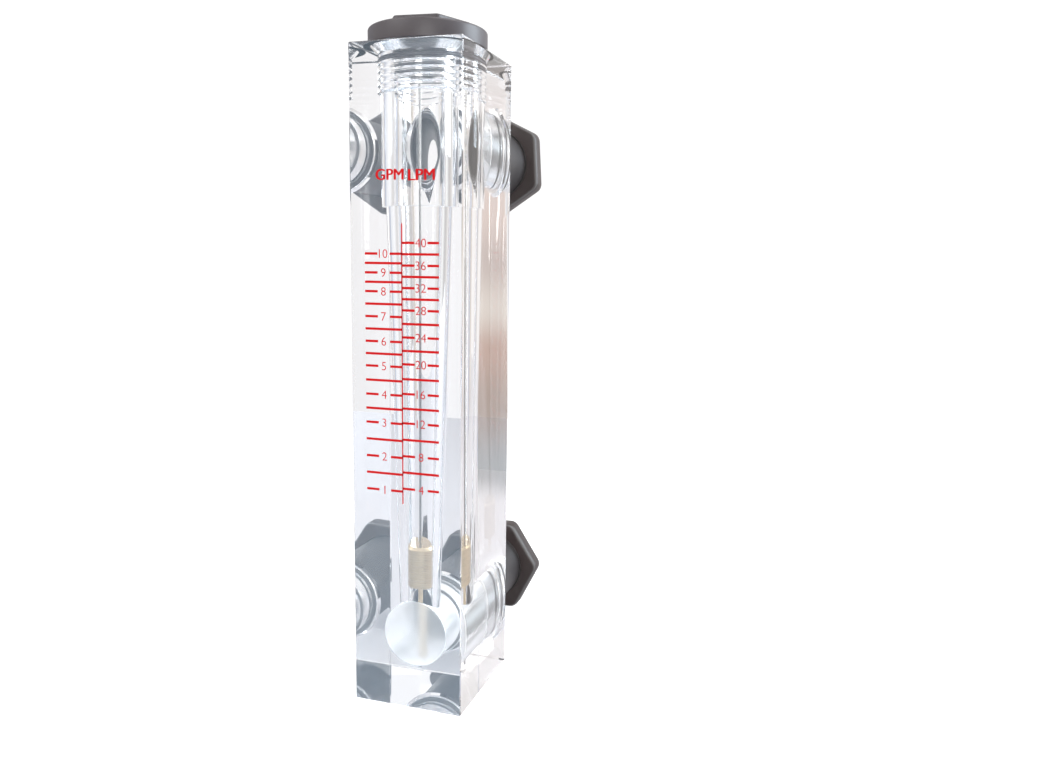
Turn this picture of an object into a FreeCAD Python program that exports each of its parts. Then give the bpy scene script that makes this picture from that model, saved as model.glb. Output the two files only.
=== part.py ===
import FreeCAD, Part
import math
import os

# Rotameter: a clear acrylic block bored as a tapered metering tube, with a float on a guide rod,
# a screwed top plug and two threaded pipe adapters in its back.
# Millimetres, +Z up. Origin: centre of the block's base. The front (scale) face looks along -Y.

# ---- Driving dimensions -------------------------------------------------------------------

# Block
block_width = 50.0
block_depth = 58.0
block_edge_break = 0.4

# Horizontal ports in the back face
inlet_height = 30.0             # inlet axis above the base
port_spacing = 212.0            # inlet axis to outlet axis
head_height = 38.0              # outlet axis to the top face
port_radius = 14.75
inlet_end_setback = 13.75       # flat end of the inlet bore behind the front face
socket_radius = 16.3            # bored for the adapter's spigot
socket_depth = 17.5
collar_seat_width = 2.3         # shallow seat round the socket's mouth
collar_seat_depth = 3.2
collar_seat_edge_break = 1.2

# Vertical passage
tube_axis_setback = 23.0        # metering axis behind the front face
tube_bottom_radius = 9.4        # where the tube leaves the inlet bore
tube_top_radius = 14.9          # where the tube opens into the outlet chamber
chamber_radius = 16.8
chamber_drop = 26.7             # chamber floor below the outlet axis
plug_thread_length = 16.0       # threaded mouth, from the top face down
plug_thread_radius = 18.2
plug_mouth_flare = 3.1          # 45 degree seat for the seal ring

# Guide rod and its stop
rod_radius = 0.8
rod_foot_depth = 3.0            # blind hole under the inlet bore
rod_head_depth = 6.0            # blind hole in the plug
stop_radius = 2.0

# Float
float_radius = 8.8
float_height = 18.4
float_rest_rise = 5.55          # underside of the resting float above the inlet bore
float_top_chamfer = 1.0
float_foot_chamfer = 0.5

# Top plug
plug_shank_length = 9.0
plug_flange_inset = 0.1         # flange's rim inside the block's sides
plug_flange_thickness = 7.4
plug_flange_chamfer = 0.8
plug_hex_across_flats = 32.0
plug_hex_height = 3.2
plug_hex_turn = 6.0             # degrees from square to the block
plug_hex_corner_radius = 1.5
plug_edge_break = 0.5
plug_ring_cord = 1.8

# Pipe adapters
adapter_bore_radius = 12.5
adapter_neck_radius = 17.0      # threaded at its far end for the lock nut
adapter_thread_radius = 16.62   # one-inch parallel pipe thread
adapter_thread_length = 13.0
adapter_end_chamfer = 1.5
adapter_bore_chamfer = 1.0
adapter_ring_cord = 2.65
adapter_ring_setback = 6.9      # ring's middle in front of the back face
adapter_groove_width = 3.4

# Lock nuts
nut_standoff = 46.05            # back face of the block to the nut
nut_across_flats = 46.0
nut_thickness = 9.0
nut_corner_radius = 5.0
nut_rim_chamfer = 0.6
nut_mouth_chamfer = 0.6
nut_thread_runout = 0.95        # neck thread left showing behind the nut
inlet_nut_turn = -3.0           # degrees, seen from the front
outlet_nut_turn = 26.5

# Clearances
thread_clearance = 0.1          # radial, between mating threads
rod_seat_clearance = 0.05       # radial, rod in its two blind holes
float_bore_clearance = 0.1      # radial, float on the rod
float_rest_gap = 0.05
socket_clearance = 0.2          # radial and axial, adapter spigot in its socket
collar_gap = 0.05               # axial, adapter collar on its seat
seal_gap = 0.02                 # seal rings to their glands

# ---- Derived places -----------------------------------------------------------------------

front_y = -block_depth / 2
back_y = block_depth / 2
tube_y = front_y + tube_axis_setback
inlet_end_y = front_y + inlet_end_setback
socket_floor_y = back_y - socket_depth
collar_seat_radius = socket_radius + collar_seat_width
collar_seat_y = back_y - collar_seat_depth

outlet_height = inlet_height + port_spacing
block_height = outlet_height + head_height
tube_foot_z = inlet_height + port_radius
chamber_floor_z = outlet_height - chamber_drop
thread_floor_z = block_height - plug_thread_length

plug_foot_z = block_height - plug_shank_length
plug_flange_radius = block_width / 2 - plug_flange_inset
rod_foot_z = inlet_height - port_radius - rod_foot_depth
rod_head_z = plug_foot_z + rod_head_depth
float_foot_z = tube_foot_z + float_rest_rise

nut_front_y = back_y + nut_standoff
neck_end_y = nut_front_y + nut_thickness + nut_thread_runout
adapter_end_y = neck_end_y + adapter_thread_length

UP = FreeCAD.Vector(0, 0, 1)
BACK = FreeCAD.Vector(0, 1, 0)


def at(x, y, z):
    return FreeCAD.Vector(x, y, z)


def upright(radius, low, high):
    """Cylinder on the metering axis between two heights."""
    return Part.makeCylinder(radius, high - low, at(0, tube_y, low), UP)


def upright_cone(low_radius, high_radius, low, high):
    return Part.makeCone(low_radius, high_radius, high - low, at(0, tube_y, low), UP)


def level(radius, height, near, far):
    """Cylinder along +Y at a port's height, between two depths."""
    return Part.makeCylinder(radius, far - near, at(0, near, height), BACK)


def lay(solid, height):
    """Tip a solid built along +Z over, so that its length runs along +Y at a port's height."""
    solid.rotate(at(0, 0, 0), at(1, 0, 0), -90)
    solid.translate(at(0, 0, height))
    return solid


def turned(profile):
    """Solid of revolution about Z from (radius, length) corners."""
    corners = [at(radius, 0, length) for radius, length in profile]
    face = Part.Face(Part.makePolygon(corners + corners[:1]))
    return face.revolve(at(0, 0, 0), UP, 360)


def turned_upright(profile):
    solid = turned(profile)
    solid.translate(at(0, tube_y, 0))
    return solid


def cord_section(cord, middle_radius, middle_length):
    """Corners of a seal ring's section: a round cord pressed flat where it touches."""
    across = cord / 2
    flat = across * math.tan(math.pi / 8)
    eighth = [(across, flat), (flat, across)]
    left = [(-radius, length) for radius, length in reversed(eighth)]
    upper = eighth + left
    lower = [(radius, -length) for radius, length in reversed(upper)]
    return [(middle_radius + radius, middle_length + length) for radius, length in upper + lower]


def hexagon_prism(across_flats, thickness, corner_radius):
    """Upright hexagonal prism on the origin, with a flat facing -Y and rounded corners."""
    corner = across_flats / math.sqrt(3)
    corners = [
        at(corner * math.cos(math.radians(60 * step)), corner * math.sin(math.radians(60 * step)), 0)
        for step in range(6)
    ]
    prism = Part.Face(Part.makePolygon(corners + corners[:1])).extrude(at(0, 0, thickness))
    posts = [edge for edge in prism.Edges if abs(edge.Length - thickness) < 1e-6]
    return prism.makeFillet(corner_radius, posts)


def rim_edges(solid, z):
    """Edges that lie wholly in the horizontal plane at z."""
    box = [(edge, edge.BoundBox) for edge in solid.Edges]
    return [edge for edge, b in box if abs(b.ZMin - z) < 1e-4 and abs(b.ZMax - z) < 1e-4]


# ---- Pieces -------------------------------------------------------------------------------

def acrylic_block():
    corner = at(-block_width / 2, front_y, 0)
    blank = Part.makeBox(block_width, block_depth, block_height, corner)
    blank = blank.makeChamfer(block_edge_break, blank.Edges)

    taper = (tube_top_radius - tube_bottom_radius) / (chamber_floor_z - tube_foot_z)
    mid_port_radius = tube_bottom_radius - taper * port_radius
    mouth_z = block_height - plug_mouth_flare
    cavities = [
        upright_cone(mid_port_radius, tube_top_radius, inlet_height, chamber_floor_z),
        upright(chamber_radius, chamber_floor_z, thread_floor_z),
        upright(plug_thread_radius, thread_floor_z, block_height),
        upright_cone(plug_thread_radius, plug_thread_radius + plug_mouth_flare, mouth_z, block_height),
        upright(rod_radius + rod_seat_clearance, rod_foot_z, inlet_height),
        level(port_radius, inlet_height, inlet_end_y, back_y),
        level(port_radius, outlet_height, tube_y, back_y),
    ]
    for height in (inlet_height, outlet_height):
        cavities.append(level(socket_radius, height, socket_floor_y, back_y))
        cavities.append(level(collar_seat_radius, height, collar_seat_y, back_y))
        mouth = Part.makeCone(
            collar_seat_radius, collar_seat_radius + collar_seat_edge_break, collar_seat_edge_break,
            at(0, back_y - collar_seat_edge_break, height), BACK)
        cavities.append(mouth)
    return blank.cut(cavities)


def top_plug():
    top_z = block_height + plug_flange_thickness
    shank = plug_thread_radius - thread_clearance
    body = turned_upright([
        (0, plug_foot_z),
        (shank - plug_edge_break, plug_foot_z),
        (shank, plug_foot_z + plug_edge_break),
        (shank, block_height),
        (plug_flange_radius - plug_edge_break, block_height),
        (plug_flange_radius, block_height + plug_edge_break),
        (plug_flange_radius, top_z - plug_flange_chamfer),
        (plug_flange_radius - plug_flange_chamfer, top_z),
        (0, top_z),
    ])
    boss = hexagon_prism(plug_hex_across_flats, plug_hex_height, plug_hex_corner_radius)
    boss = boss.makeChamfer(plug_edge_break, rim_edges(boss, plug_hex_height))
    boss.rotate(at(0, 0, 0), UP, plug_hex_turn)
    boss.translate(at(0, tube_y, top_z))
    seat = upright(rod_radius + rod_seat_clearance, plug_foot_z, rod_head_z)
    return body.fuse(boss).removeSplitter().cut(seat)


def plug_seal_ring():
    reach = plug_ring_cord / 2 + seal_gap
    shank = plug_thread_radius - thread_clearance
    return turned_upright(cord_section(plug_ring_cord, shank + reach, block_height - reach))


def guide_rod():
    return upright(rod_radius, rod_foot_z + rod_seat_clearance, rod_head_z - rod_seat_clearance)


def float_stop_sleeve():
    # The sleeve stands on the round floor of the inlet bore, which rises under its edge.
    foot_z = inlet_height - math.sqrt(port_radius ** 2 - stop_radius ** 2)
    top_z = float_foot_z - float_rest_gap
    sleeve = upright(stop_radius, foot_z + rod_seat_clearance, top_z)
    return sleeve.cut(upright(rod_radius + rod_seat_clearance, foot_z, top_z))


def float_body():
    bore = rod_radius + float_bore_clearance
    top_z = float_foot_z + float_height
    return turned_upright([
        (bore, float_foot_z),
        (float_radius - float_foot_chamfer, float_foot_z),
        (float_radius, float_foot_z + float_foot_chamfer),
        (float_radius, top_z - float_top_chamfer),
        (float_radius - float_top_chamfer, top_z),
        (bore, top_z),
    ])


def pipe_adapter(height):
    spigot = socket_radius - socket_clearance
    collar = collar_seat_radius - socket_clearance
    collar_front = collar_seat_y + collar_gap
    groove_floor = socket_radius - adapter_ring_cord - 2 * seal_gap
    groove_near = back_y - adapter_ring_setback - adapter_groove_width / 2
    groove_far = groove_near + adapter_groove_width
    inner_y = socket_floor_y + socket_clearance
    body = turned([
        (adapter_bore_radius, inner_y),
        (spigot - adapter_bore_chamfer, inner_y),
        (spigot, inner_y + adapter_bore_chamfer),
        (spigot, groove_near),
        (groove_floor, groove_near),
        (groove_floor, groove_far),
        (spigot, groove_far),
        (spigot, collar_front),
        (collar, collar_front),
        (collar, back_y),
        (adapter_neck_radius, back_y),
        (adapter_neck_radius, neck_end_y),
        (adapter_thread_radius, neck_end_y),
        (adapter_thread_radius, adapter_end_y - adapter_end_chamfer),
        (adapter_thread_radius - adapter_end_chamfer, adapter_end_y),
        (adapter_bore_radius + adapter_bore_chamfer, adapter_end_y),
        (adapter_bore_radius, adapter_end_y - adapter_bore_chamfer),
    ])
    return lay(body, height)


def adapter_seal_ring(height):
    middle_radius = socket_radius - adapter_ring_cord / 2 - seal_gap
    section = cord_section(adapter_ring_cord, middle_radius, back_y - adapter_ring_setback)
    return lay(turned(section), height)


def lock_nut(height, turn):
    bore = adapter_neck_radius + thread_clearance
    nut = hexagon_prism(nut_across_flats, nut_thickness, nut_corner_radius)
    rims = rim_edges(nut, 0) + rim_edges(nut, nut_thickness)
    nut = nut.makeChamfer(nut_rim_chamfer, rims)
    hole = turned([
        (0, 0),
        (bore + nut_mouth_chamfer, 0),
        (bore, nut_mouth_chamfer),
        (bore, nut_thickness - nut_mouth_chamfer),
        (bore + nut_mouth_chamfer, nut_thickness),
        (0, nut_thickness),
    ])
    nut = nut.cut(hole)
    nut.rotate(at(0, 0, 0), UP, turn)
    nut.translate(at(0, 0, nut_front_y))
    return lay(nut, height)


def pieces():
    yield "acrylic_block", acrylic_block()
    yield "top_plug", top_plug()
    yield "plug_seal_ring", plug_seal_ring()
    yield "guide_rod", guide_rod()
    yield "float_stop_sleeve", float_stop_sleeve()
    yield "float", float_body()
    ports = (("inlet", inlet_height, inlet_nut_turn), ("outlet", outlet_height, outlet_nut_turn))
    for port, height, turn in ports:
        yield port + "_adapter", pipe_adapter(height)
        yield port + "_seal_ring", adapter_seal_ring(height)
        yield port + "_lock_nut", lock_nut(height, turn)


os.makedirs("parts", exist_ok=True)
for node, shape in pieces():
    solids = shape.Solids
    if len(solids) != 1 or not shape.isValid():
        raise ValueError("%s: %d solids, valid %s" % (node, len(solids), shape.isValid()))
    solids[0].exportStep("parts/%s.step" % node)
    print("%-18s %9.1f mm3" % (node, solids[0].Volume))
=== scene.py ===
import math

import bmesh
import bpy
from mathutils import Matrix, Vector


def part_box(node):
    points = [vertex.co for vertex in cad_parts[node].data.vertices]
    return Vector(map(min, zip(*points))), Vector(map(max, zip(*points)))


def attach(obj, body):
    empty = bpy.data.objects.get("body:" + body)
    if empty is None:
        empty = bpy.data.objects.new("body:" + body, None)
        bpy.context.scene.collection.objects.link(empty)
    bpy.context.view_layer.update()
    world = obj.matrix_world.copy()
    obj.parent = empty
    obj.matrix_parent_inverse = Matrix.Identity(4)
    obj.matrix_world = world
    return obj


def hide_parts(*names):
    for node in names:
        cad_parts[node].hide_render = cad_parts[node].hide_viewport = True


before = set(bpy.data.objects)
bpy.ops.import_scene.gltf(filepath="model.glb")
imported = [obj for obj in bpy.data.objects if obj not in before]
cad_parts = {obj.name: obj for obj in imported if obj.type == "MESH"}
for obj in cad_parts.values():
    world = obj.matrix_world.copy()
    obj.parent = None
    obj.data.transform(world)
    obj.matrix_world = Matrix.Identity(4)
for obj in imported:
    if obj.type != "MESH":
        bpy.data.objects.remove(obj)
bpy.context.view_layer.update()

# Lengths are in millimetres. A finished mesh is scaled to metres once, with its place in it.
MM = 0.001
TURN = 2 * math.pi


# ---- Sizes, from the frame and from the meter's own passages --------------------------------

def box_mm(node):
    low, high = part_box(node)
    return low / MM, high / MM


block_low, block_high = box_mm("acrylic_block")
rod_low, rod_high = box_mm("guide_rod")
sleeve_low, sleeve_high = box_mm("float_stop_sleeve")
float_low, float_high = box_mm("float")
plug_low, plug_high = box_mm("top_plug")
inlet_low, inlet_high = box_mm("inlet_adapter")
outlet_low, outlet_high = box_mm("outlet_adapter")
nut_low, nut_high = box_mm("inlet_lock_nut")
ring_low, ring_high = box_mm("inlet_seal_ring")
cap_ring_low, cap_ring_high = box_mm("plug_seal_ring")

FRONT_Y, BACK_Y = block_low.y, block_high.y
TOP_Z = block_high.z
TUBE_Y = (rod_low.y + rod_high.y) / 2
PORT_HEIGHTS = {
    "inlet": (inlet_low.z + inlet_high.z) / 2,
    "outlet": (outlet_low.z + outlet_high.z) / 2,
}

EDGE_BREAK = 0.4
OVER = 1.0                         # how far a cutter stands out of the block
PORT_RADIUS = 14.75
INLET_END_Y = FRONT_Y + 13.75
SOCKET_RADIUS = 16.3
SOCKET_FLOOR_Y = BACK_Y - 17.5
SEAT_RADIUS = 18.6                 # where the adapter's collar sits
SEAT_Y = BACK_Y - 3.2
SEAT_EDGE_BREAK = 1.2
TUBE_FOOT_RADIUS = 9.4
TUBE_HEAD_RADIUS = 14.9
TUBE_FOOT_Z = PORT_HEIGHTS["inlet"] + PORT_RADIUS
CHAMBER_RADIUS = 16.8
CHAMBER_FLOOR_Z = PORT_HEIGHTS["outlet"] - 26.7
ROD_HOLE_RADIUS = 0.85
MOUTH_FLARE = 3.1

CAP_PITCH = 2.75
CAP_THREAD_RADIUS = 18.2
CAP_THREAD_ROOT = 0.8
CAP_THREAD_FRONT_Z = TOP_Z - 2.6   # middle of the first groove, at the front
MOUTH_THREAD_DEPTH = 19.5
CAP_CLEARANCE = 0.1
CAP_FLANGE_THICKNESS = 7.4
CAP_ACROSS_FLATS = 32.0
CAP_CORNER = 1.5
CAP_TURN = 6.0                     # degrees from square to the block

SPIGOT_CLEARANCE = 0.2
SEAT_GAP = 0.05
RING_GROOVE_DEPTH = 2.49
NECK_RADIUS = 17.0
NECK_THREAD_DEPTH = 0.9
NECK_PITCH = 1.5
PIPE_THREAD_RADIUS = 16.62
PIPE_THREAD_DEPTH = 1.48
PIPE_PITCH = 25.4 / 11
BORE_RADIUS = 12.5
NUT_ACROSS_FLATS = 46.0
NUT_CORNER = 5.0
NUT_TURNS = {"inlet": -3.0, "outlet": 26.5}    # degrees from a corner on the +X side


# ---- Node trees -----------------------------------------------------------------------------

class Value:
    """A socket that takes part in arithmetic. Each operation adds its Math node."""

    def __init__(self, tree, socket):
        self.tree = tree
        self.socket = socket

    def __add__(self, other):
        return self.tree.math("ADD", self, other)

    def __sub__(self, other):
        return self.tree.math("SUBTRACT", self, other)

    def __rsub__(self, other):
        return self.tree.math("SUBTRACT", other, self)

    def __mul__(self, other):
        return self.tree.math("MULTIPLY", self, other)

    def __truediv__(self, other):
        return self.tree.math("DIVIDE", self, other)

    def __lt__(self, other):
        return self.tree.math("LESS_THAN", self, other)

    def __gt__(self, other):
        return self.tree.math("GREATER_THAN", self, other)

    def __mod__(self, other):
        return self.tree.math("FLOORED_MODULO", self, other)


class Tree:
    """A node tree and the one way to add a node to it."""

    def __init__(self, nodes, links, math_type):
        self.nodes = nodes
        self.links = links
        self.math_type = math_type

    def node(self, kind, settings=None, inputs=None):
        """A node of a kind: its settings first, then values or links for its sockets."""
        node = self.nodes.new(kind)
        for name, value in (settings or {}).items():
            if name == "stops":
                set_stops(node.color_ramp, value)
            else:
                setattr(node, name, value)
        for name, value in (inputs or {}).items():
            socket = node.inputs[name]
            if isinstance(value, Value):
                self.links.new(value.socket, socket)
            elif isinstance(value, bpy.types.NodeSocket):
                self.links.new(value, socket)
            else:
                socket.default_value = value
        return node

    def math(self, operation, *values):
        node = self.node(self.math_type, {"operation": operation}, dict(enumerate(values)))
        return Value(self, node.outputs[0])

    def clamp(self, value, low=0.0, high=1.0):
        return self.math("MINIMUM", self.math("MAXIMUM", value, low), high)

    def out(self, node, name=0):
        return Value(self, node.outputs[name])


def set_stops(ramp, stops):
    while len(ramp.elements) < len(stops):
        ramp.elements.new(0.5)
    for element, (position, colour) in zip(ramp.elements, stops):
        element.position = position
        element.color = (*colour, 1)


class Shader(Tree):
    """The node tree of a material or of the world."""

    def __init__(self, owner):
        owner.use_nodes = True
        owner.node_tree.nodes.clear()
        super().__init__(owner.node_tree.nodes, owner.node_tree.links, "ShaderNodeMath")
        self.owner = owner

    def place(self):
        """Object coordinates in metres: the vector, and its three parts."""
        coordinates = self.node("ShaderNodeTexCoord")
        vector = coordinates.outputs["Object"]
        parts = self.node("ShaderNodeSeparateXYZ", inputs={"Vector": vector})
        return vector, [self.out(parts, axis) for axis in "XYZ"]

    def noise(self, vector, scale, detail=3.0, stretch=None):
        if stretch:
            mapping = self.node("ShaderNodeMapping", inputs={"Vector": vector, "Scale": stretch})
            vector = mapping.outputs["Vector"]
        node = self.node("ShaderNodeTexNoise", inputs={
            "Vector": vector, "Scale": scale, "Detail": detail, "Roughness": 0.6})
        return self.out(node, "Fac")

    def blend(self, factor, low, high):
        """A colour between two, by a factor."""
        node = self.node("ShaderNodeMix", {"data_type": "RGBA"}, {0: factor, 6: low, 7: high})
        return node.outputs[2]

    def ramp(self, factor, stops, interpolation="LINEAR"):
        node = self.node("ShaderNodeValToRGB", {"stops": stops}, {"Fac": factor})
        node.color_ramp.interpolation = interpolation
        return node.outputs["Color"]

    def bump(self, height, strength, distance_mm):
        node = self.node("ShaderNodeBump", inputs={
            "Strength": strength, "Distance": distance_mm * MM, "Height": height})
        return node.outputs["Normal"]

    def rays(self):
        """Masks for what the camera sees straight, and by way of metal or glass."""
        path = self.node("ShaderNodeLightPath")
        mirrored = self.math("MAXIMUM", self.out(path, "Is Glossy Ray"),
                             self.out(path, "Is Transmission Ray"))
        return self.out(path, "Is Camera Ray"), mirrored

    def surface(self, shader):
        self.node("ShaderNodeOutputMaterial", inputs={"Surface": shader})
        return self.owner


class Recipe(Tree):
    """A Geometry Nodes tree with named inputs, that gives one mesh."""

    kinds = {"size": "NodeSocketFloat", "count": "NodeSocketInt", "finish": "NodeSocketMaterial"}

    def __init__(self, name, inputs):
        self.group = bpy.data.node_groups.new(name, "GeometryNodeTree")
        super().__init__(self.group.nodes, self.group.links, "ShaderNodeMath")
        face = self.group.interface
        face.new_socket(name="Geometry", in_out="OUTPUT", socket_type="NodeSocketGeometry")
        self.keys = {}
        for label, kind in inputs.items():
            socket = face.new_socket(name=label, in_out="INPUT", socket_type=self.kinds[kind])
            self.keys[label] = socket.identifier
        self.given = self.node("NodeGroupInput")

    def input(self, label):
        return Value(self, self.given.outputs[label])

    def vector(self, x=0.0, y=0.0, z=0.0):
        return self.node("ShaderNodeCombineXYZ", inputs={"X": x, "Y": y, "Z": z}).outputs[0]

    def join(self, *parts):
        node = self.node("GeometryNodeJoinGeometry")
        for part in reversed(parts):
            self.links.new(part, node.inputs[0])
        return node.outputs[0]

    def finish(self, geometry):
        """Realize what is instanced, give it its material and send it out."""
        real = self.node("GeometryNodeRealizeInstances", inputs={"Geometry": geometry})
        done = self.node("GeometryNodeSetMaterial", inputs={
            "Geometry": real.outputs[0], "Material": self.input("Finish")})
        self.node("NodeGroupOutput", inputs={"Geometry": done.outputs[0]})

    def make(self, name, values):
        """A plain mesh made by the tree with these values."""
        carrier = bpy.data.objects.new(name, bpy.data.meshes.new(name))
        bpy.context.scene.collection.objects.link(carrier)
        modifier = carrier.modifiers.new("recipe", "NODES")
        modifier.node_group = self.group
        for label, value in values.items():
            modifier[self.keys[label]] = value
        mesh = evaluated_mesh(carrier)
        bpy.data.objects.remove(carrier)
        return mesh


def evaluated_mesh(obj):
    bpy.context.view_layer.update()
    graph = bpy.context.evaluated_depsgraph_get()
    return bpy.data.meshes.new_from_object(obj.evaluated_get(graph))


# ---- Mesh makers ----------------------------------------------------------------------------

def circle(radius, count=192):
    """Points of a circle, counter-clockwise."""
    angles = [TURN * step / count for step in range(count)]
    return [Vector((radius * math.cos(a), radius * math.sin(a))) for a in angles]


def hexagon(across_flats, corner, turn=0.0, count=192):
    """Points of a hexagon with rounded corners, one corner at the turn in degrees."""
    flat = across_flats / 2
    centre = (flat - corner) / math.cos(TURN / 12)
    tangent = math.atan2(corner / 2, centre + corner * math.cos(TURN / 12))
    points = []
    for step in range(count):
        angle = TURN * step / count
        off = (angle + TURN / 12) % (TURN / 6) - TURN / 12
        if abs(off) < tangent:
            reach = centre * math.cos(off) + math.sqrt(corner ** 2 - (centre * math.sin(off)) ** 2)
        else:
            reach = flat / math.cos(TURN / 12 - abs(off))
        way = angle + math.radians(turn)
        points.append(Vector((reach * math.cos(way), reach * math.sin(way))))
    return points


def loft(name, sections, closed=False):
    """Mesh through sections of (points, height), stacked along Z. A closed one joins its last
    section to its first, and an open one is capped."""
    shape = bmesh.new()
    rings = []
    for points, height in sections:
        rings.append([shape.verts.new((p.x, p.y, height)) for p in points])
    pairs = list(zip(rings, rings[1:]))
    if closed:
        pairs.append((rings[-1], rings[0]))
    for lower, upper in pairs:
        for i in range(len(lower)):
            j = (i + 1) % len(lower)
            shape.faces.new((lower[i], lower[j], upper[j], upper[i]))
    if not closed:
        shape.faces.new(list(reversed(rings[0])))
        shape.faces.new(rings[-1])
    bmesh.ops.remove_doubles(shape, verts=shape.verts, dist=1e-5)
    bmesh.ops.recalc_face_normals(shape, faces=shape.faces)
    mesh = bpy.data.meshes.new(name)
    shape.to_mesh(mesh)
    shape.free()
    return mesh


def softened(profile, radii, steps=5):
    """A closed or open run of (radius, length) corners with some of them rounded. The radii are
    given by corner number."""
    result = []
    count = len(profile)
    for i, point in enumerate(profile):
        here = Vector(point)
        radius = radii.get(i, 0)
        if not radius:
            result.append(here)
            continue
        back = (Vector(profile[i - 1]) - here).normalized()
        ahead = (Vector(profile[(i + 1) % count]) - here).normalized()
        half = back.angle(ahead) / 2
        reach = radius / math.tan(half)
        middle = here + (back + ahead).normalized() * radius / math.sin(half)
        start = here + back * reach - middle
        finish = here + ahead * reach - middle
        swing = start.angle_signed(finish)
        for step in range(steps + 1):
            arm = start.copy()
            arm.rotate(Matrix.Rotation(-swing * step / steps, 2))
            result.append(middle + arm)
    return result


def turned(name, profile, radii=None, closed=False, count=192):
    """Solid of revolution about Z from (radius, length) corners."""
    points = softened(profile, radii or {})
    sections = [(circle(max(p.x, 1e-4), count), p.y) for p in points]
    return loft(name, sections, closed)


def moved(mesh, *matrices):
    for matrix in matrices:
        mesh.transform(matrix)
    return mesh


def upright(mesh):
    """Onto the metering axis."""
    return moved(mesh, Matrix.Translation((0, TUBE_Y, 0)))


def laid(mesh, port):
    """Tipped over so that its length runs along +Y at a port's height."""
    tip = Matrix.Rotation(-math.pi / 2, 4, "X")
    return moved(mesh, tip, Matrix.Translation((0, 0, PORT_HEIGHTS[port])))


def joined(name, *meshes):
    shape = bmesh.new()
    for mesh in meshes:
        shape.from_mesh(mesh)
    whole = bpy.data.meshes.new(name)
    shape.to_mesh(whole)
    shape.free()
    return whole


def boolean(mesh, cutter, operation):
    """One mesh cut by, or united with, another."""
    base = bpy.data.objects.new("base", mesh)
    tool = bpy.data.objects.new("tool", cutter)
    for obj in (base, tool):
        bpy.context.scene.collection.objects.link(obj)
    modifier = base.modifiers.new("cut", "BOOLEAN")
    modifier.operation = operation
    modifier.solver = "EXACT"
    modifier.object = tool
    result = evaluated_mesh(base)
    for obj in (base, tool):
        bpy.data.objects.remove(obj)
    return result


def piece(name, mesh, body, finish, replaces=(), sharp=30):
    """A finished piece from a mesh in millimetres."""
    mesh.transform(Matrix.Scale(MM, 4))
    mesh.polygons.foreach_set("use_smooth", [True] * len(mesh.polygons))
    mesh.set_sharp_from_angle(angle=math.radians(sharp))
    mesh.materials.clear()
    mesh.materials.append(finish)
    mesh.name = name
    obj = bpy.data.objects.new(name, mesh)
    bpy.context.scene.collection.objects.link(obj)
    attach(obj, body)
    if replaces:
        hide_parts(*replaces)
    return obj


# ---- Screw threads --------------------------------------------------------------------------

def thread_recipe():
    """A ridge that winds up along Z, right-handed, from its foot radius outwards, and runs out
    at both ends."""
    tree = Recipe("helical_thread", {
        "Foot Radius": "size", "Pitch": "size", "Turns": "size", "Depth": "size",
        "Foot Width": "size", "Crest Width": "size", "Run Out": "size",
        "Steps Per Turn": "count", "Finish": "finish"})
    turns = tree.input("Turns")
    spiral = tree.node("GeometryNodeCurveSpiral", inputs={
        "Resolution": tree.input("Steps Per Turn"), "Rotations": turns,
        "Start Radius": tree.input("Foot Radius"), "End Radius": tree.input("Foot Radius"),
        "Height": turns * tree.input("Pitch"), "Reverse": True})
    level = tree.node("GeometryNodeSetCurveNormal", {"mode": "Z_UP"}, {"Curve": spiral.outputs[0]})
    along = tree.out(tree.node("GeometryNodeSplineParameter"), "Factor") * turns
    from_end = tree.math("MINIMUM", along, turns - along) / tree.input("Run Out")
    rise = tree.clamp(from_end, low=0.02)
    path = tree.node("GeometryNodeSetCurveRadius", inputs={
        "Curve": level.outputs[0], "Radius": rise})
    section = tree.node("GeometryNodeCurvePrimitiveQuadrilateral", {"mode": "TRAPEZOID"}, {
        "Height": tree.input("Depth"), "Bottom Width": tree.input("Foot Width"),
        "Top Width": tree.input("Crest Width"), "Offset": 0.0})
    lifted = tree.node("GeometryNodeTransform", inputs={
        "Geometry": section.outputs[0], "Translation": tree.vector(x=tree.input("Depth") / 2),
        "Rotation": (0, 0, -math.pi / 2)})
    ridge = tree.node("GeometryNodeCurveToMesh", inputs={
        "Curve": path.outputs[0], "Profile Curve": lifted.outputs[0], "Fill Caps": True})
    tree.finish(ridge.outputs[0])
    return tree


THREAD = thread_recipe()


def ridge(name, foot_radius, crest_radius, pitch, turns, crest_width, flank=30, run_out=0.35):
    """A helical ridge that starts at z = 0 on the +X side."""
    depth = crest_radius - foot_radius
    return THREAD.make(name, {
        "Foot Radius": foot_radius, "Pitch": pitch, "Turns": float(turns), "Depth": depth,
        "Foot Width": crest_width + 2 * depth * math.tan(math.radians(flank)),
        "Crest Width": crest_width, "Run Out": run_out, "Steps Per Turn": 144})


# ---- Finishes -------------------------------------------------------------------------------

def new_shader(name):
    return Shader(bpy.data.materials.new(name))


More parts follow.
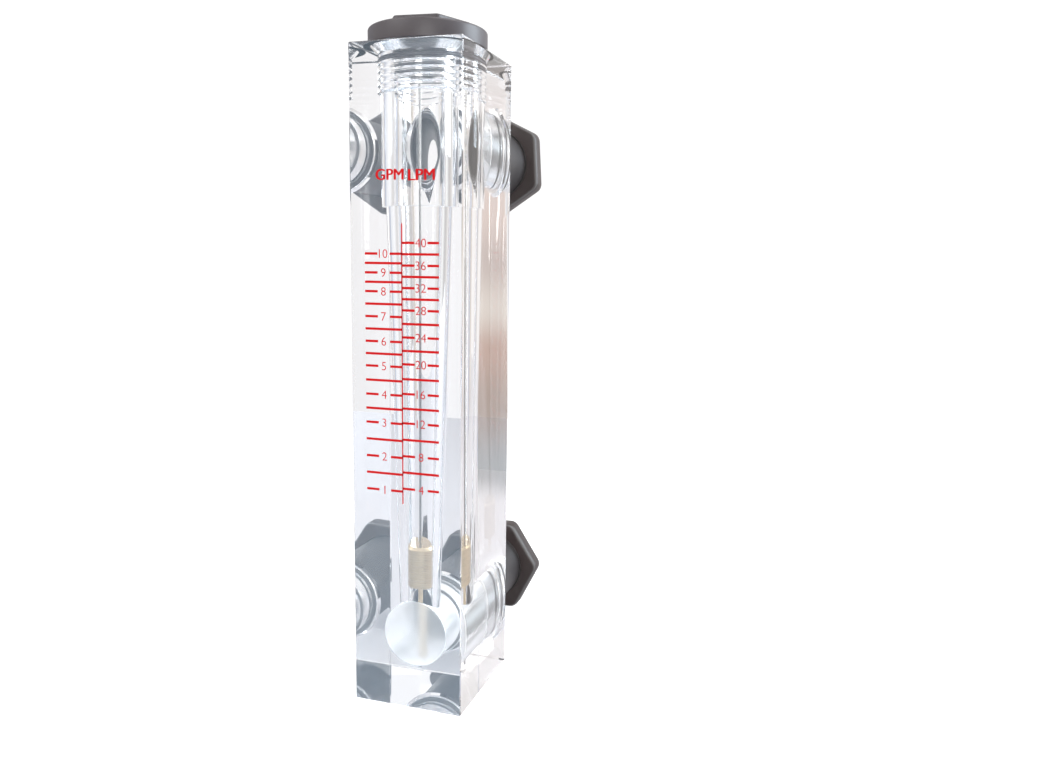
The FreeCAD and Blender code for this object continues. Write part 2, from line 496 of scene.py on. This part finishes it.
def clear_acrylic():
    """Cast acrylic with polished faces. The port bores and the threaded mouth keep fine tool
    marks, and the flat end of the inlet bore keeps coarser ones. The front face carries a
    painted reflection, a faint pale blue diffuse veil, thinner towards the top."""
    shader = new_shader("clear_acrylic")
    skin, end_skin, near = 0.25, 0.3, 0.1      # how far each mask reaches past its surface
    vector, (x, y, z) = shader.place()
    below, above = (shader.math("ABSOLUTE", z - height * MM) for height in PORT_HEIGHTS.values())
    up = shader.math("MINIMUM", below, above)
    radius = shader.math("SQRT", x * x + up * up)
    socket = y > (SOCKET_FLOOR_Y - near) * MM
    reach = (socket * (SOCKET_RADIUS - PORT_RADIUS)
             + (y > (SEAT_Y - near) * MM) * (SEAT_RADIUS - SOCKET_RADIUS)
             + PORT_RADIUS + skin) * MM
    upper = above < below
    start = upper * (TUBE_Y - INLET_END_Y) * MM + (INLET_END_Y - end_skin) * MM
    bored = (radius < reach) * (y > start)
    milled = bored * (y < (INLET_END_Y + end_skin) * MM)
    back = y - TUBE_Y * MM
    from_axis = shader.math("SQRT", x * x + back * back)
    inside = (from_axis < (CAP_THREAD_RADIUS + MOUTH_FLARE) * MM) * (z < (TOP_Z - 0.05) * MM)
    tapped = inside * (z > (TOP_Z - MOUTH_THREAD_DEPTH) * MM)
    place = shader.node("ShaderNodeCombineXYZ", inputs={"X": radius, "Y": y})
    marks = shader.noise(place.outputs[0], 900)
    normal = shader.bump(marks * (bored * 0.3 + milled * 0.7), 0.5, 0.08)
    glass = shader.node("ShaderNodeBsdfPrincipled", inputs={
        "Base Color": (1, 1, 1, 1), "Transmission Weight": 1.0, "IOR": 1.49,
        "Roughness": bored * 0.26 + milled * 0.16 + tapped * 0.13, "Normal": normal})
    cloud = shader.noise(vector, 30)
    # Painted reflection: the front face is veiled with pale blue diffuse, more of it low down.
    front = y < (FRONT_Y + 0.05) * MM
    white = shader.blend(cloud, (0.84, 0.84, 0.82, 1), (0.92, 0.92, 0.91, 1))
    # Colour of the diffuse: frost white on the bores, the painted reflection's pale blue on the
    # front face.
    bloom_and_painted_veil = shader.blend(front, white, (0.60, 0.80, 1.0, 1))
    frost_and_painted_veil = shader.node("ShaderNodeBsdfPrincipled", inputs={
        "Base Color": bloom_and_painted_veil, "Roughness": 1.0, "Specular IOR Level": 0.0})
    # How much diffuse is mixed into the glass: frost on the bores, and the painted reflection veil
    # on the front face, thinner towards the top.
    frost_and_painted_veil_weight = (front * (0.15 - z * 0.25) + bored * (0.19 - socket * 0.12 - upper * 0.07)
               + milled * 0.03)
    glass_frost_and_painted_veil = shader.node("ShaderNodeMixShader", inputs={
        0: frost_and_painted_veil_weight, 1: glass.outputs[0], 2: frost_and_painted_veil.outputs[0]})
    clear = shader.node("ShaderNodeBsdfTransparent", inputs={"Color": (0.93, 0.94, 0.95, 1)})
    path = shader.node("ShaderNodeLightPath")
    mix = shader.node("ShaderNodeMixShader", inputs={
        0: path.outputs["Is Shadow Ray"], 1: glass_frost_and_painted_veil.outputs[0], 2: clear.outputs[0]})
    return shader.surface(mix.outputs[0])


def moulded_plastic(name, dark, light, painted_rim_highlight=0.0):
    """Black plastic with a fine grain. The rims of a part that lies along Y can get a painted
    highlight, paler where their faces are slanted."""
    shader = new_shader(name)
    vector, _ = shader.place()
    cloud = shader.noise(vector, 60)
    grain = shader.noise(vector, 2600, 2)
    colour = shader.blend(cloud, dark, light)
    facing = shader.node("ShaderNodeNewGeometry").outputs["Normal"]
    along = shader.out(shader.node("ShaderNodeSeparateXYZ", inputs={"Vector": facing}), "Y")
    square = along * along
    slant = square * (1 - square) * 4
    # Painted highlight: slanted rim faces are blended towards pale grey, whatever the lamps do.
    colour = shader.blend(slant * slant * painted_rim_highlight, colour, (0.30, 0.31, 0.31, 1))
    body = shader.node("ShaderNodeBsdfPrincipled", inputs={
        "Base Color": colour, "Roughness": cloud * 0.14 + 0.36, "IOR": 1.5,
        "Normal": shader.bump(grain, 0.02, 0.02)})
    return shader.surface(body.outputs[0])


def bright_steel(name, dark, light):
    """Steel with fine marks round it, from turning or drawing."""
    shader = new_shader(name)
    vector, _ = shader.place()
    marks = shader.noise(vector, 1.0, 2, stretch=(40, 40, 9000))
    cloud = shader.noise(vector, 220)
    colour = shader.blend(cloud, dark, light)
    metal = shader.node("ShaderNodeBsdfPrincipled", inputs={
        "Base Color": colour, "Metallic": 1.0, "Roughness": marks * 0.14 + 0.22,
        "Normal": shader.bump(marks, 0.25, 0.01)})
    return shader.surface(metal.outputs[0])


def ring_rubber():
    shader = new_shader("ring_rubber")
    vector, _ = shader.place()
    bloom_and_painted_veil = shader.noise(vector, 400)
    colour = shader.blend(bloom_and_painted_veil, (0.012, 0.012, 0.013, 1), (0.03, 0.03, 0.031, 1))
    body = shader.node("ShaderNodeBsdfPrincipled", inputs={
        "Base Color": colour, "Roughness": bloom_and_painted_veil * 0.2 + 0.5,
        "Normal": shader.bump(bloom_and_painted_veil, 0.2, 0.02)})
    return shader.surface(body.outputs[0])


def red_ink():
    shader = new_shader("red_scale_ink")
    vector, _ = shader.place()
    weave = shader.noise(vector, 1800, 2)
    colour = shader.blend(weave, (0.44, 0.004, 0.006, 1), (0.54, 0.008, 0.010, 1))
    film = shader.node("ShaderNodeBsdfPrincipled", inputs={
        "Base Color": colour, "Roughness": weave * 0.2 + 0.7, "Specular IOR Level": 0.1,
        "Normal": shader.bump(weave, 0.2, 0.01)})
    return shader.surface(film.outputs[0])


ACRYLIC = clear_acrylic()
PLASTIC = moulded_plastic("black_plastic", (0.026, 0.023, 0.024, 1), (0.046, 0.042, 0.043, 1))
# The nut plastic gets a painted highlight on its rims.
NUT_PLASTIC = moulded_plastic("nut_plastic", (0.020, 0.012, 0.011, 1), (0.036, 0.026, 0.025, 1),
                              painted_rim_highlight=0.25)
CAP_PLASTIC = moulded_plastic("cap_plastic", (0.046, 0.039, 0.043, 1), (0.070, 0.062, 0.068, 1))
STEEL = bright_steel("turned_steel", (0.46, 0.36, 0.23, 1), (0.59, 0.47, 0.31, 1))
ROD_STEEL = bright_steel("drawn_steel", (0.20, 0.19, 0.18, 1), (0.30, 0.285, 0.27, 1))
RUBBER = ring_rubber()
INK = red_ink()


# ---- Clear block ----------------------------------------------------------------------------

def block_blank():
    shape = bmesh.new()
    bmesh.ops.create_cube(shape, size=1.0)
    size = block_high - block_low
    bmesh.ops.scale(shape, vec=size, verts=shape.verts)
    bmesh.ops.translate(shape, vec=(block_low + block_high) / 2, verts=shape.verts)
    bmesh.ops.bevel(shape, geom=shape.edges, offset=EDGE_BREAK, segments=1, affect="EDGES")
    mesh = bpy.data.meshes.new("blank")
    shape.to_mesh(mesh)
    shape.free()
    return mesh


def passage_cutter():
    """The metering tube, the chamber over it and the flared mouth, in one turned form."""
    axis_z = PORT_HEIGHTS["inlet"]
    taper = (TUBE_HEAD_RADIUS - TUBE_FOOT_RADIUS) / (CHAMBER_FLOOR_Z - TUBE_FOOT_Z)
    rim = CAP_THREAD_RADIUS + MOUTH_FLARE
    return upright(turned("passage", [
        (0, axis_z),
        (TUBE_FOOT_RADIUS - taper * PORT_RADIUS, axis_z),
        (TUBE_HEAD_RADIUS, CHAMBER_FLOOR_Z),
        (CHAMBER_RADIUS, CHAMBER_FLOOR_Z),
        (CHAMBER_RADIUS, TOP_Z - rim + CHAMBER_RADIUS),
        (rim + OVER, TOP_Z + OVER),
        (0, TOP_Z + OVER),
    ], {2: 0.06, 3: 0.08}))


def port_cutter(port, start_y):
    """A port's bore from where it starts, its socket and the collar's seat."""
    return laid(turned(port, [
        (0, start_y),
        (PORT_RADIUS, start_y),
        (PORT_RADIUS, SOCKET_FLOOR_Y),
        (SOCKET_RADIUS, SOCKET_FLOOR_Y),
        (SOCKET_RADIUS, SEAT_Y),
        (SEAT_RADIUS, SEAT_Y),
        (SEAT_RADIUS, BACK_Y - SEAT_EDGE_BREAK),
        (SEAT_RADIUS + SEAT_EDGE_BREAK + OVER, BACK_Y + OVER),
        (0, BACK_Y + OVER),
    ], {1: 0.4, 2: 0.15, 3: 0.25, 4: 0.15, 5: 0.25}), port)


def rod_hole_cutter():
    low = rod_low.z - 0.05
    return upright(turned("rod_hole", [
        (0, low), (ROD_HOLE_RADIUS, low),
        (ROD_HOLE_RADIUS, PORT_HEIGHTS["inlet"]), (0, PORT_HEIGHTS["inlet"]),
    ], count=48))


def cap_thread_start(turns_down):
    """Height where a ridge starts on the +X side, so that its turns pass the front at the
    right height."""
    return CAP_THREAD_FRONT_Z - (turns_down + 0.75) * CAP_PITCH


def mouth_thread_cutter():
    mesh = ridge("mouth_thread", CHAMBER_RADIUS - 0.2, CAP_THREAD_RADIUS, CAP_PITCH,
                 8.0, CAP_THREAD_ROOT)
    return upright(moved(mesh, Matrix.Translation((0, 0, cap_thread_start(5.5)))))


def bored_block():
    mesh = block_blank()
    for cutter in (passage_cutter(), port_cutter("inlet", INLET_END_Y),
                   port_cutter("outlet", TUBE_Y), rod_hole_cutter(), mouth_thread_cutter()):
        mesh = boolean(mesh, cutter, "DIFFERENCE")
    return piece("bored_block", mesh, "meter", ACRYLIC, ["acrylic_block"])


# ---- Cap, seal rings ------------------------------------------------------------------------

def cap():
    """Moulded cap: a threaded shank, a round flange and a low hexagon for the spanner."""
    top = plug_high.z
    flange_top = TOP_Z + CAP_FLANGE_THICKNESS
    foot = plug_low.z
    root = CHAMBER_RADIUS - CAP_CLEARANCE
    collar = CAP_THREAD_RADIUS - CAP_CLEARANCE
    rim = (plug_high.x - plug_low.x) / 2
    profile = softened([
        (0, foot), (root, foot), (root, TOP_Z - 4.2), (collar, TOP_Z - 2.8), (collar, TOP_Z),
        (rim, TOP_Z), (rim, flange_top), (0.8 * rim, flange_top),
    ], {1: 0.5, 4: 0.15, 5: 0.5, 6: 0.9})
    sections = [(circle(max(p.x, 1e-4)), p.y) for p in profile]
    fillet = 0.35
    for out, up in ((fillet, 0.0), (0.1, 0.1), (0.0, fillet)):
        sections.append((hexagon(CAP_ACROSS_FLATS + 2 * out, CAP_CORNER + out), flange_top + up))
    rounding = 0.6
    for step in range(5):
        angle = TURN / 4 * step / 4
        inset = rounding * (1 - math.cos(angle))
        drop = rounding * (1 - math.sin(angle))
        sections.append((hexagon(CAP_ACROSS_FLATS - 2 * inset, CAP_CORNER - inset), top - drop))
    body = moved(loft("cap", sections), Matrix.Rotation(math.radians(CAP_TURN), 4, "Z"))
    screw = ridge("cap_thread", root - 0.2, collar, CAP_PITCH, 1.9, CAP_THREAD_ROOT - 0.1)
    screw = moved(screw, Matrix.Translation((0, 0, cap_thread_start(1))))
    mesh = boolean(upright(body), upright(screw), "UNION")
    return piece("threaded_cap", mesh, "meter", CAP_PLASTIC, ["top_plug"])


def ring_section(inner, outer, low, high, round_to):
    corners = [(inner, low), (outer, low), (outer, high), (inner, high)]
    return corners, dict.fromkeys(range(4), round_to)


def cap_ring():
    inner = CAP_THREAD_RADIUS - CAP_CLEARANCE
    outer = (cap_ring_high.x - cap_ring_low.x) / 2
    corners, radii = ring_section(inner, outer, cap_ring_low.z, cap_ring_high.z, 0.8)
    mesh = upright(turned("cap_ring", corners, radii, closed=True))
    return piece("cap_ring", mesh, "meter", RUBBER, ["plug_seal_ring"])


def port_ring(port):
    wet = 0.04
    outer = SOCKET_RADIUS + wet
    thickness = ring_high.y - ring_low.y
    corners, radii = ring_section(outer - thickness, outer, ring_low.y, ring_high.y, 0.7)
    mesh = laid(turned("port_ring", corners, radii, closed=True), port)
    return piece(port + "_port_ring", mesh, "meter", RUBBER, [port + "_seal_ring"])


# ---- Float and its rod ----------------------------------------------------------------------

def rod():
    radius = (rod_high.x - rod_low.x) / 2
    mesh = upright(turned("rod", [
        (0, rod_low.z), (radius, rod_low.z), (radius, rod_high.z), (0, rod_high.z),
    ], {1: 0.25, 2: 0.25}, count=64))
    return piece("float_rod", mesh, "meter", ROD_STEEL, ["guide_rod"])


def stop_sleeve():
    radius = (sleeve_high.x - sleeve_low.x) / 2
    mesh = upright(turned("sleeve", [
        (ROD_HOLE_RADIUS, sleeve_low.z), (radius, sleeve_low.z),
        (radius, sleeve_high.z), (ROD_HOLE_RADIUS, sleeve_high.z),
    ], {1: 0.2, 2: 0.2}, closed=True, count=96))
    return piece("stop_sleeve", mesh, "meter", STEEL, ["float_stop_sleeve"])


def metering_float():
    radius = (float_high.x - float_low.x) / 2
    low, high = float_low.z, float_high.z
    bore = 0.9
    mesh = upright(turned("float", [
        (bore, low), (radius - 0.5, low), (radius, low + 0.5),
        (radius, high - 1.0), (radius - 1.0, high), (bore, high),
    ], {1: 0.15, 2: 0.15, 3: 0.1, 4: 0.15, 5: 0.25}, closed=True))
    return piece("turned_float", mesh, "float", STEEL, ["float"])


# ---- Adapters and nuts ----------------------------------------------------------------------

def adapter(port):
    """Moulded tube: a grooved spigot and a collar in the block, a smooth neck, the lock nut's
    thread and the pipe thread."""
    inner, end = inlet_low.y, inlet_high.y
    spigot, collar = SOCKET_RADIUS - SPIGOT_CLEARANCE, SEAT_RADIUS - SPIGOT_CLEARANCE
    collar_y = SEAT_Y + SEAT_GAP
    groove = spigot - RING_GROOVE_DEPTH
    groove_low, groove_high = ring_low.y - 0.4, ring_high.y + 0.4
    nut_root = NECK_RADIUS - NECK_THREAD_DEPTH
    nut_start, nut_end = nut_low.y - 0.7, nut_high.y + 0.95
    pipe_root = PIPE_THREAD_RADIUS - PIPE_THREAD_DEPTH
    body = turned("adapter", [
        (BORE_RADIUS, inner), (spigot, inner), (spigot, groove_low),
        (groove, groove_low), (groove, groove_high), (spigot, groove_high),
        (spigot, collar_y), (collar, collar_y), (collar, BACK_Y), (NECK_RADIUS, BACK_Y),
        (NECK_RADIUS, nut_start), (nut_root, nut_start + 0.6), (nut_root, nut_end - 0.3),
        (pipe_root, nut_end + 0.7), (pipe_root, end), (BORE_RADIUS, end),
    ], {0: 0.3, 1: 0.9, 2: 0.2, 3: 0.3, 4: 0.3, 5: 0.2, 6: 0.15, 7: 0.3, 8: 0.3, 14: 0.8, 15: 0.9},
        closed=True)
    nut_thread = ridge("nut_thread", nut_root - 0.15, NECK_RADIUS, NECK_PITCH, 6.6, 0.2)
    pipe_thread = ridge("pipe_thread", pipe_root - 0.15, PIPE_THREAD_RADIUS, PIPE_PITCH, 4.6,
                        0.35, flank=27.5)
    moved(nut_thread, Matrix.Translation((0, 0, nut_start + 0.5)))
    moved(pipe_thread, Matrix.Translation((0, 0, nut_end + 1.1)))
    for screw in (nut_thread, pipe_thread):
        body = boolean(body, screw, "UNION")
    return piece(port + "_pipe_adapter", laid(body, port), "meter", PLASTIC,
                 [port + "_adapter"])


def nut(port):
    """Moulded hexagon nut with rounded corners and rims."""
    thickness = nut_high.y - nut_low.y
    bore = NECK_RADIUS + 0.1
    chamfer = 0.6
    mouth = bore + chamfer
    rounding = 1.6
    flat = rounding + 0.2              # an extra ring that keeps the end faces flat
    outer = [(hexagon(NUT_ACROSS_FLATS - 2 * flat, NUT_CORNER - flat), 0.0)]
    for step in range(6):
        angle = TURN / 4 * step / 5
        inset = rounding * (1 - math.sin(angle))
        rise = rounding * (1 - math.cos(angle))
        outer.append((hexagon(NUT_ACROSS_FLATS - 2 * inset, NUT_CORNER - inset), rise))
    far = [(points, thickness - rise) for points, rise in reversed(outer)]
    hole = [(circle(mouth), thickness), (circle(bore), thickness - chamfer),
            (circle(bore), chamfer), (circle(mouth), 0)]
    mesh = loft("nut", outer + far + hole, closed=True)
    moved(mesh, Matrix.Rotation(math.radians(NUT_TURNS[port]), 4, "Z"),
          Matrix.Translation((0, 0, nut_low.y)))
    return piece(port + "_nut_hexagon", laid(mesh, port), port + "_nut",
                 NUT_PLASTIC, [port + "_lock_nut"])


# ---- Scale ----------------------------------------------------------------------------------

INK_THICKNESS = 0.05
INK_Y = FRONT_Y - INK_THICKNESS / 2 - 0.01
STROKE = 1.0
SCALE_LEFT, SCALE_MIDDLE, SCALE_RIGHT = -18.3, -1.5, 15.0
SPINE_LOW, SPINE_HIGH, SPINE_WIDTH = 91.0, 208.0, 0.5
FIRST_GALLON_Z, FIRST_LITRE_Z = 96.4, 97.7
GALLON_GAP, LITRE_GAP = (-12.5, -7.0), (4.2, 9.9)          # where the numbers stand
NUMBER_HEIGHT = 3.5
UNIT_HEIGHT = 4.4


def ladder_recipe():
    """Rows of marks. Every other row, from the first, has a gap for its number."""
    tree = Recipe("scale_ladder", {
        "First": "size", "Step": "size", "Rows": "count", "Left": "size", "Right": "size",
        "Gap Left": "size", "Gap Right": "size", "Stroke": "size", "Ink": "size",
        "Face": "size", "Finish": "finish"})

    def bar(left, right):
        cube = tree.node("GeometryNodeMeshCube", inputs={
            "Size": tree.vector(right - left, tree.input("Ink"), tree.input("Stroke"))})
        middle = tree.vector((left + right) / 2)
        place = tree.node("GeometryNodeTransform", inputs={
            "Geometry": cube.outputs[0], "Translation": middle})
        return place.outputs[0]

    left, right = tree.input("Left"), tree.input("Right")
    whole = bar(left, right)
    split = tree.join(bar(left, tree.input("Gap Left")), bar(tree.input("Gap Right"), right))
    rows = tree.node("GeometryNodeMeshLine", inputs={
        "Count": tree.input("Rows"),
        "Start Location": tree.vector(y=tree.input("Face"), z=tree.input("First")),
        "Offset": tree.vector(z=tree.input("Step"))})
    index = tree.out(tree.node("GeometryNodeInputIndex"))
    odd = (index % 2.0) > 0.5
    parts = []
    for shape, chosen in ((whole, odd), (split, 1 - odd)):
        marks = tree.node("GeometryNodeInstanceOnPoints", inputs={
            "Points": rows.outputs[0], "Selection": chosen, "Instance": shape})
        parts.append(marks.outputs[0])
    tree.finish(tree.join(*parts))
    return tree


# Each side's runs of rows: the first number, the step between rows, and how many rows, each
# row half a number on from the last.
GALLON_RUNS = ((1, 7.24, 4), (3, 5.99, 4), (5, 5.17, 6), (8, 3.86, 5))
LITRE_RUNS = ((4, 7.02, 4), (12, 6.20, 4), (20, 5.56, 4), (28, 4.56, 7))


def scale_side(recipe, runs, per_number, first_z, left, right, gap):
    """The marks of one side, and (number, height) of its numbered rows."""
    meshes, numbers = [], []
    height = first_z
    for number, step, rows in runs:
        meshes.append(recipe.make("rows", {
            "First": height, "Step": step, "Rows": rows, "Left": left, "Right": right,
            "Gap Left": gap[0], "Gap Right": gap[1], "Stroke": STROKE, "Ink": INK_THICKNESS,
            "Face": INK_Y}))
        for row in range(0, rows, 2):
            numbers.append((number + row // 2 * per_number, height + row * step))
        height += rows * step
    return meshes, numbers


def lettering(words, middle_x, base_z, height, width=None, weight=0.0):
    """Words as a thin plate on the front face, standing on a base line."""
    curve = bpy.data.curves.new("lettering", "FONT")
    curve.body = words
    curve.align_x = "CENTER"
    curve.offset = weight
    curve.extrude = 0.5
    curve.resolution_u = 4
    carrier = bpy.data.objects.new("lettering", curve)
    bpy.context.scene.collection.objects.link(carrier)
    mesh = evaluated_mesh(carrier)
    bpy.data.objects.remove(carrier)
    xs = [v.co.x for v in mesh.vertices]
    ys = [v.co.y for v in mesh.vertices]
    tall = height / (max(ys) - min(ys))
    wide = width / (max(xs) - min(xs)) if width else tall
    centre = Matrix.Translation((-(min(xs) + max(xs)) / 2, -min(ys), 0))
    size = Matrix.Diagonal((wide, tall, INK_THICKNESS, 1))
    stand = Matrix.Rotation(math.pi / 2, 4, "X")
    place = Matrix.Translation((middle_x, INK_Y, base_z))
    return moved(mesh, place @ stand @ size @ centre)


def printed_scale():
    recipe = ladder_recipe()
    gallons, gallon_numbers = scale_side(
        recipe, GALLON_RUNS, 1, FIRST_GALLON_Z, SCALE_LEFT, SCALE_MIDDLE, GALLON_GAP)
    litres, litre_numbers = scale_side(
        recipe, LITRE_RUNS, 4, FIRST_LITRE_Z, SCALE_MIDDLE, SCALE_RIGHT, LITRE_GAP)
    spine = recipe.make("spine", {
        "First": (SPINE_LOW + SPINE_HIGH) / 2, "Step": 1.0, "Rows": 1,
        "Left": SCALE_MIDDLE - SPINE_WIDTH / 2, "Right": SCALE_MIDDLE + SPINE_WIDTH / 2,
        "Gap Left": SCALE_MIDDLE, "Gap Right": SCALE_MIDDLE,
        "Stroke": SPINE_HIGH - SPINE_LOW, "Ink": INK_THICKNESS, "Face": INK_Y})
    piece("scale_marks", joined("marks", spine, *gallons, *litres), "meter", INK)
    words = []
    for step in (-1, 0, 1):
        # Struck three times, side by side, for bold letters.
        strike = Matrix.Translation((0.19 * step, 0.008 * step, 0))
        words.append(moved(lettering("GPM", -6.75, 225.3, UNIT_HEIGHT, 12.2), strike))
        words.append(moved(lettering("LPM", 7.3, 225.0, UNIT_HEIGHT, 11.4), strike))
    for column, numbers in ((-9.9, gallon_numbers), (6.9, litre_numbers)):
        for number, height in numbers:
            words.append(lettering(str(number), column, height - NUMBER_HEIGHT / 2,
                                   NUMBER_HEIGHT, weight=-0.008))
    piece("scale_figures", joined("figures", *words), "meter", INK)


# ---- Studio ---------------------------------------------------------------------------------

METER_MIDDLE = Vector((0, 0, 0.14))
FLOOR_DROP = 0.3                   # a gap of air, so that the base still mirrors
CAMERA_PLACE = (0.157095, -0.358035, 0.193475)
CAMERA_YAW, CAMERA_PITCH, CAMERA_ROLL = 18.122, -7.786, 0.752      # degrees
LENS, SENSOR = 30.548, 36.0
LIGHT_BOUNCES = 32


def studio_floor():
    """A white sheet a hair under the meter. Metal and glass see it grey, and dim in front."""
    shader = new_shader("studio_floor")
    vector, (_, y, _) = shader.place()
    camera_ray, mirror_ray = shader.rays()
    glow = shader.blend(camera_ray, (0, 0, 0, 1), (0.6, 0.6, 0.6, 1))
    cloud = shader.noise(vector, 3)
    tone = shader.blend(cloud, (0.56, 0.56, 0.56, 1), (0.58, 0.58, 0.58, 1))
    ahead = shader.clamp((y + 0.24) * -14)
    mirrored = shader.blend(ahead, (0.50, 0.475, 0.48, 1), (0.20, 0.20, 0.20, 1))
    tone = shader.blend(mirror_ray, tone, mirrored)
    floor = shader.node("ShaderNodeBsdfPrincipled", inputs={
        "Base Color": tone, "Roughness": 0.9, "Specular IOR Level": 0.1,
        "Emission Color": glow, "Emission Strength": 1.0})
    material = shader.surface(floor.outputs[0])
    shape = bmesh.new()
    bmesh.ops.create_grid(shape, x_segments=8, y_segments=8, size=0.5)
    bmesh.ops.translate(shape, vec=(0.14, 0.16, -FLOOR_DROP * MM), verts=shape.verts)
    mesh = bpy.data.meshes.new("studio_floor")
    shape.to_mesh(mesh)
    shape.free()
    mesh.materials.append(material)
    obj = bpy.data.objects.new("studio_floor", mesh)
    bpy.context.scene.collection.objects.link(obj)


def studio_world():
    """White to the camera. What metal and glass see has soft upright bands of grey and beige
    round about, and a dim room in front, to the left. A full turn or half turn runs from 0 to 1,
    with the back at half of the one and the level at half of the other."""
    world = bpy.data.worlds.new("studio")
    bpy.context.scene.world = world
    shader = Shader(world)
    camera_ray, mirror_ray = shader.rays()
    way = shader.node("ShaderNodeTexCoord").outputs["Generated"]
    parts = shader.node("ShaderNodeSeparateXYZ", inputs={"Vector": way})
    around = shader.math("ARCTAN2", shader.out(parts, "X"), shader.out(parts, "Y")) / TURN + 0.5
    high = shader.math("ARCSINE", shader.out(parts, "Z")) / math.pi + 0.5
    bands = shader.ramp(around, [
        (0.00, (0.60, 0.56, 0.52)), (0.13, (0.80, 0.77, 0.75)), (0.18, (0.66, 0.62, 0.59)),
        (0.23, (0.94, 0.92, 0.92)), (0.31, (0.80, 0.80, 0.82)), (0.33, (0.40, 0.42, 0.52)),
        (0.35, (0.52, 0.54, 0.62)), (0.375, (0.62, 0.54, 0.46)), (0.40, (0.91, 0.88, 0.87)),
        (0.57, (0.91, 0.88, 0.87)),
        (0.60, (0.68, 0.63, 0.58)), (0.65, (0.52, 0.48, 0.45)), (0.70, (0.92, 0.90, 0.88)),
        (0.80, (0.60, 0.58, 0.58)), (0.90, (0.50, 0.48, 0.46)),
    ], "EASE")
    room = shader.ramp(high, [
        (0.40, (1.00, 1.00, 1.00)), (0.425, (0.26, 0.28, 0.29)), (0.45, (0.30, 0.20, 0.15)),
        (0.468, (0.44, 0.26, 0.19)), (0.483, (0.68, 0.60, 0.53)), (0.50, (0.50, 0.40, 0.36)),
        (0.517, (0.68, 0.54, 0.48)), (0.55, (0.84, 0.78, 0.76)), (0.58, (1.00, 1.00, 1.00)),
        (0.62, (0.90, 0.86, 0.86)),
    ], "EASE")
    left = shader.ramp(around, [
        (0.00, (0, 0, 0)), (0.025, (1, 1, 1)), (0.09, (1, 1, 1)), (0.12, (0, 0, 0)),
    ], "EASE")
    bands = shader.blend(left, bands, room)
    soft = shader.blend(mirror_ray, (0.80, 0.80, 0.81, 1), bands)
    colour = shader.blend(camera_ray, soft, (1, 1, 1, 1))
    light = shader.node("ShaderNodeBackground", inputs={"Color": colour, "Strength": 1.06})
    shader.node("ShaderNodeOutputWorld", inputs={"Surface": light.outputs[0]})


def softbox(name, place, size, power, tint=(1, 1, 1)):
    """A square lamp that looks at the meter's middle, with its size in metres and its power in
    watts."""
    light = bpy.data.lights.new(name, "AREA")
    light.shape = "SQUARE"
    light.size = size
    light.energy = power
    light.color = tint
    obj = bpy.data.objects.new(name, light)
    obj.location = place
    obj.rotation_euler = (METER_MIDDLE - Vector(place)).to_track_quat("-Z", "Y").to_euler()
    bpy.context.scene.collection.objects.link(obj)


def camera():
    lens = bpy.data.cameras.new("camera")
    lens.sensor_width = SENSOR
    lens.lens = LENS
    lens.clip_start = 0.01
    obj = bpy.data.objects.new("camera", lens)
    yaw, pitch, roll = map(math.radians, (CAMERA_YAW, CAMERA_PITCH, CAMERA_ROLL))
    turn = (Matrix.Rotation(yaw, 4, "Z") @ Matrix.Rotation(math.pi / 2 + pitch, 4, "X")
            @ Matrix.Rotation(roll, 4, "Z"))
    obj.matrix_world = Matrix.Translation(CAMERA_PLACE) @ turn
    bpy.context.scene.collection.objects.link(obj)
    bpy.context.scene.camera = obj


# ---- The meter ------------------------------------------------------------------------------

camera()
bored_block()
cap()
cap_ring()
rod()
stop_sleeve()
metering_float()
for port in PORT_HEIGHTS:
    adapter(port)
    port_ring(port)
    nut(port)
printed_scale()

studio_floor()
studio_world()
softbox("key_softbox", (-0.9, -1.1, 1.3), 1.0, 12)
softbox("rim_softbox", (1.1, 0.55, 0.6), 0.7, 18, (0.80, 0.91, 1))
softbox("top_softbox", (0.55, -0.1, 1.15), 0.7, 6)
softbox("front_softbox", (0.48, -1.25, 0.35), 0.6, 6)

scene = bpy.context.scene
scene.view_settings.view_transform = "Standard"
for bounces in ("max_bounces", "glossy_bounces", "transmission_bounces",
                "transparent_max_bounces"):
    setattr(scene.cycles, bounces, LIGHT_BOUNCES)
